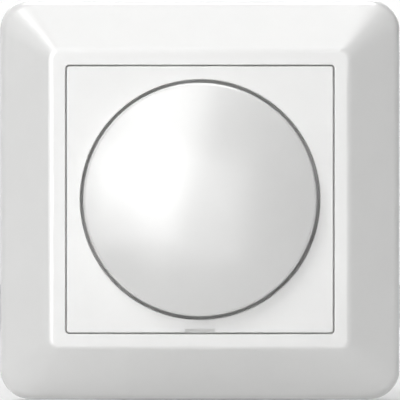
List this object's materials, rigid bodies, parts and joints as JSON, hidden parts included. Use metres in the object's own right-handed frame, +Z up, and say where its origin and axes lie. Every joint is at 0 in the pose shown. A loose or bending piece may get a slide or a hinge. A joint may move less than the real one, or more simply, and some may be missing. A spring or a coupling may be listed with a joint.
{
  "type": "dimmer switch",
  "caption": "Square wall dimmer with a bevelled frame, a flat central plate and a large domed push-and-turn knob on a flush insert.",
  "frame": {"origin": "on the knob's axis, in the plane of the wall's face", "axes": "+Z up, +Y into the wall along the knob's axis, +X to the right as seen from the room"},
  "size_m": [0.082, 0.047, 0.082],
  "materials": {
    "white_cover": "polished moulded white plastic",
    "zinc_plate": "zinc-plated sheet steel",
    "zinc_screws": "zinc-plated steel",
    "claw_steel": "zinc-plated pressed steel",
    "clamp_steel": "nickel-plated steel",
    "turned_brass": "turned and stamped brass",
    "spring_steel": "bright spring steel",
    "shaft_aluminium": "turned aluminium",
    "pot_plastic": "moulded blue plastic",
    "wafer_laminate": "brown paper laminate",
    "tinned_leads": "tinned metal",
    "rotor_plastic": "natural nylon",
    "contact_copper": "stamped copper alloy",
    "board_laminate": "green lacquered laminate",
    "switch_plastic": "moulded black plastic",
    "plunger_plastic": "moulded red plastic",
    "triac_body": "black moulding on a tinned tab",
    "pad_rubber": "grey silicone sheet",
    "core_iron": "lacquered iron powder",
    "copper_wire": "enamelled copper wire",
    "capacitor_yellow": "moulded yellow plastic",
    "capacitor_red": "dipped red lacquer",
    "fuse_glass": "clear glass",
    "resistor_lacquer": "beige lacquer with tinned leads",
    "diac_body": "blue lacquer with tinned leads",
    "housing_plastic": "dark grey heat-resistant moulding"
  },
  "bodies": {
    "insert": {"cover_frame": "white_cover", "central_plate": "white_cover", "lock_washer": "spring_steel", "bushing_nut": "turned_brass", "support_plate": "zinc_plate", "threaded_bushing": "turned_brass", "pot_case": "pot_plastic", "track_wafer": "wafer_laminate", "pot_pins": "tinned_leads", "circuit_board": "board_laminate", "switch_case": "switch_plastic", "switch_floor_plate": "switch_plastic", "plunger_spring": "spring_steel", "switch_contacts": "contact_copper", "rocker_fulcrum": "contact_copper", "triac": "triac_body", "triac_pad": "pad_rubber", "triac_screw": "zinc_screws", "triac_nut": "zinc_screws", "choke_core": "core_iron", "choke_winding": "copper_wire", "filter_capacitor": "capacitor_yellow", "timing_capacitor": "capacitor_red", "fuse_glass": "fuse_glass", "fuse_caps": "tinned_leads", "fuse_wire": "tinned_leads", "fuse_clips": "tinned_leads", "resistors": "resistor_lacquer", "diac": "diac_body", "housing": "housing_plastic", "rear_cover": "housing_plastic", "housing_screws": "zinc_screws", "cover_screws": "zinc_screws", "terminal_bars": "turned_brass"},
    "plunger": {"switch_plunger": "plunger_plastic"},
    "knob": {"knob": "white_cover", "grip_spring": "spring_steel", "control_shaft": "shaft_aluminium", "shaft_clip": "spring_steel"},
    "rotor": {"wiper_rotor": "rotor_plastic", "wiper_contact": "contact_copper"},
    "rocker": {"contact_rocker": "contact_copper"},
    "claw_screw_left": {"claw_screw_left": "zinc_screws"},
    "claw_nut_left": {"claw_nut_left": "claw_steel"},
    "claw_left": {"claw_left": "claw_steel"},
    "claw_screw_right": {"claw_screw_right": "zinc_screws"},
    "claw_nut_right": {"claw_nut_right": "claw_steel"},
    "claw_right": {"claw_right": "claw_steel"},
    "terminal_screw_1": {"terminal_screw_1": "zinc_screws"},
    "terminal_clamp_1": {"terminal_clamp_1": "clamp_steel"},
    "terminal_screw_2": {"terminal_screw_2": "zinc_screws"},
    "terminal_clamp_2": {"terminal_clamp_2": "clamp_steel"},
    "terminal_screw_3": {"terminal_screw_3": "zinc_screws"},
    "terminal_clamp_3": {"terminal_clamp_3": "clamp_steel"}
  },
  "joints": [
    {"name": "knob_push", "type": "slide", "parent": "insert", "child": "plunger", "axis": [0, 1, 0], "range_m": [0, 0.0012], "stiffness_N_per_m": 3000, "springref_m": -0.001, "deforming": ["plunger_spring"]},
    {"name": "knob_turn", "type": "hinge", "parent": "plunger", "child": "knob", "pos_m": [0, 0, 0], "axis": [0, 1, 0], "range_deg": [-140, 140]},
    {"name": "rotor_turn", "type": "hinge", "parent": "insert", "child": "rotor", "pos_m": [0, 0.0053, 0], "axis": [0, 1, 0], "range_deg": [-140, 140]},
    {"name": "rocker_flip", "type": "hinge", "parent": "insert", "child": "rocker", "pos_m": [0, 0.01777, 0], "axis": [0, 0, 1], "range_deg": [-16, 0]},
    {"name": "claw_screw_turn_left", "type": "hinge", "parent": "insert", "child": "claw_screw_left", "pos_m": [-0.0246, 0, 0], "axis": [0, 1, 0], "range_deg": [0, 4320]},
    {"name": "claw_nut_slide_left", "type": "slide", "parent": "insert", "child": "claw_nut_left", "axis": [0, -1, 0], "range_m": [0, 0.006]},
    {"name": "claw_swing_left", "type": "hinge", "parent": "claw_nut_left", "child": "claw_left", "pos_m": [-0.0246, 0.017, 0], "axis": [0, 0, -1], "range_deg": [0, 25]},
    {"name": "claw_screw_turn_right", "type": "hinge", "parent": "insert", "child": "claw_screw_right", "pos_m": [0.0246, 0, 0], "axis": [0, 1, 0], "range_deg": [0, 4320]},
    {"name": "claw_nut_slide_right", "type": "slide", "parent": "insert", "child": "claw_nut_right", "axis": [0, -1, 0], "range_m": [0, 0.006]},
    {"name": "claw_swing_right", "type": "hinge", "parent": "claw_nut_right", "child": "claw_right", "pos_m": [0.0246, 0.017, 0], "axis": [0, 0, 1], "range_deg": [0, 25]},
    {"name": "terminal_screw_turn_1", "type": "hinge", "parent": "insert", "child": "terminal_screw_1", "pos_m": [-0.008, 0.0208, -0.0203], "axis": [0, 0, 1], "range_deg": [0, 1440]},
    {"name": "terminal_clamp_slide_1", "type": "slide", "parent": "insert", "child": "terminal_clamp_1", "axis": [0, 0, -1], "range_m": [0, 0.002]},
    {"name": "terminal_screw_turn_2", "type": "hinge", "parent": "insert", "child": "terminal_screw_2", "pos_m": [0, 0.0208, -0.0203], "axis": [0, 0, 1], "range_deg": [0, 1440]},
    {"name": "terminal_clamp_slide_2", "type": "slide", "parent": "insert", "child": "terminal_clamp_2", "axis": [0, 0, -1], "range_m": [0, 0.002]},
    {"name": "terminal_screw_turn_3", "type": "hinge", "parent": "insert", "child": "terminal_screw_3", "pos_m": [0.008, 0.0208, -0.0203], "axis": [0, 0, 1], "range_deg": [0, 1440]},
    {"name": "terminal_clamp_slide_3", "type": "slide", "parent": "insert", "child": "terminal_clamp_3", "axis": [0, 0, -1], "range_m": [0, 0.002]}
  ],
  "couplings": [
    {"joint": "rotor_turn", "follows": "knob_turn", "ratio": 1},
    {"joint": "claw_screw_turn_left", "follows": "claw_nut_slide_left", "rad_per_m": 12566},
    {"joint": "claw_swing_left", "follows": "claw_nut_slide_left", "rad_per_m": 72.722},
    {"joint": "claw_screw_turn_right", "follows": "claw_nut_slide_right", "rad_per_m": 12566},
    {"joint": "claw_swing_right", "follows": "claw_nut_slide_right", "rad_per_m": 72.722},
    {"joint": "terminal_screw_turn_1", "follows": "terminal_clamp_slide_1", "rad_per_m": 12566},
    {"joint": "terminal_screw_turn_2", "follows": "terminal_clamp_slide_2", "rad_per_m": 12566},
    {"joint": "terminal_screw_turn_3", "follows": "terminal_clamp_slide_3", "rad_per_m": 12566}
  ]
}
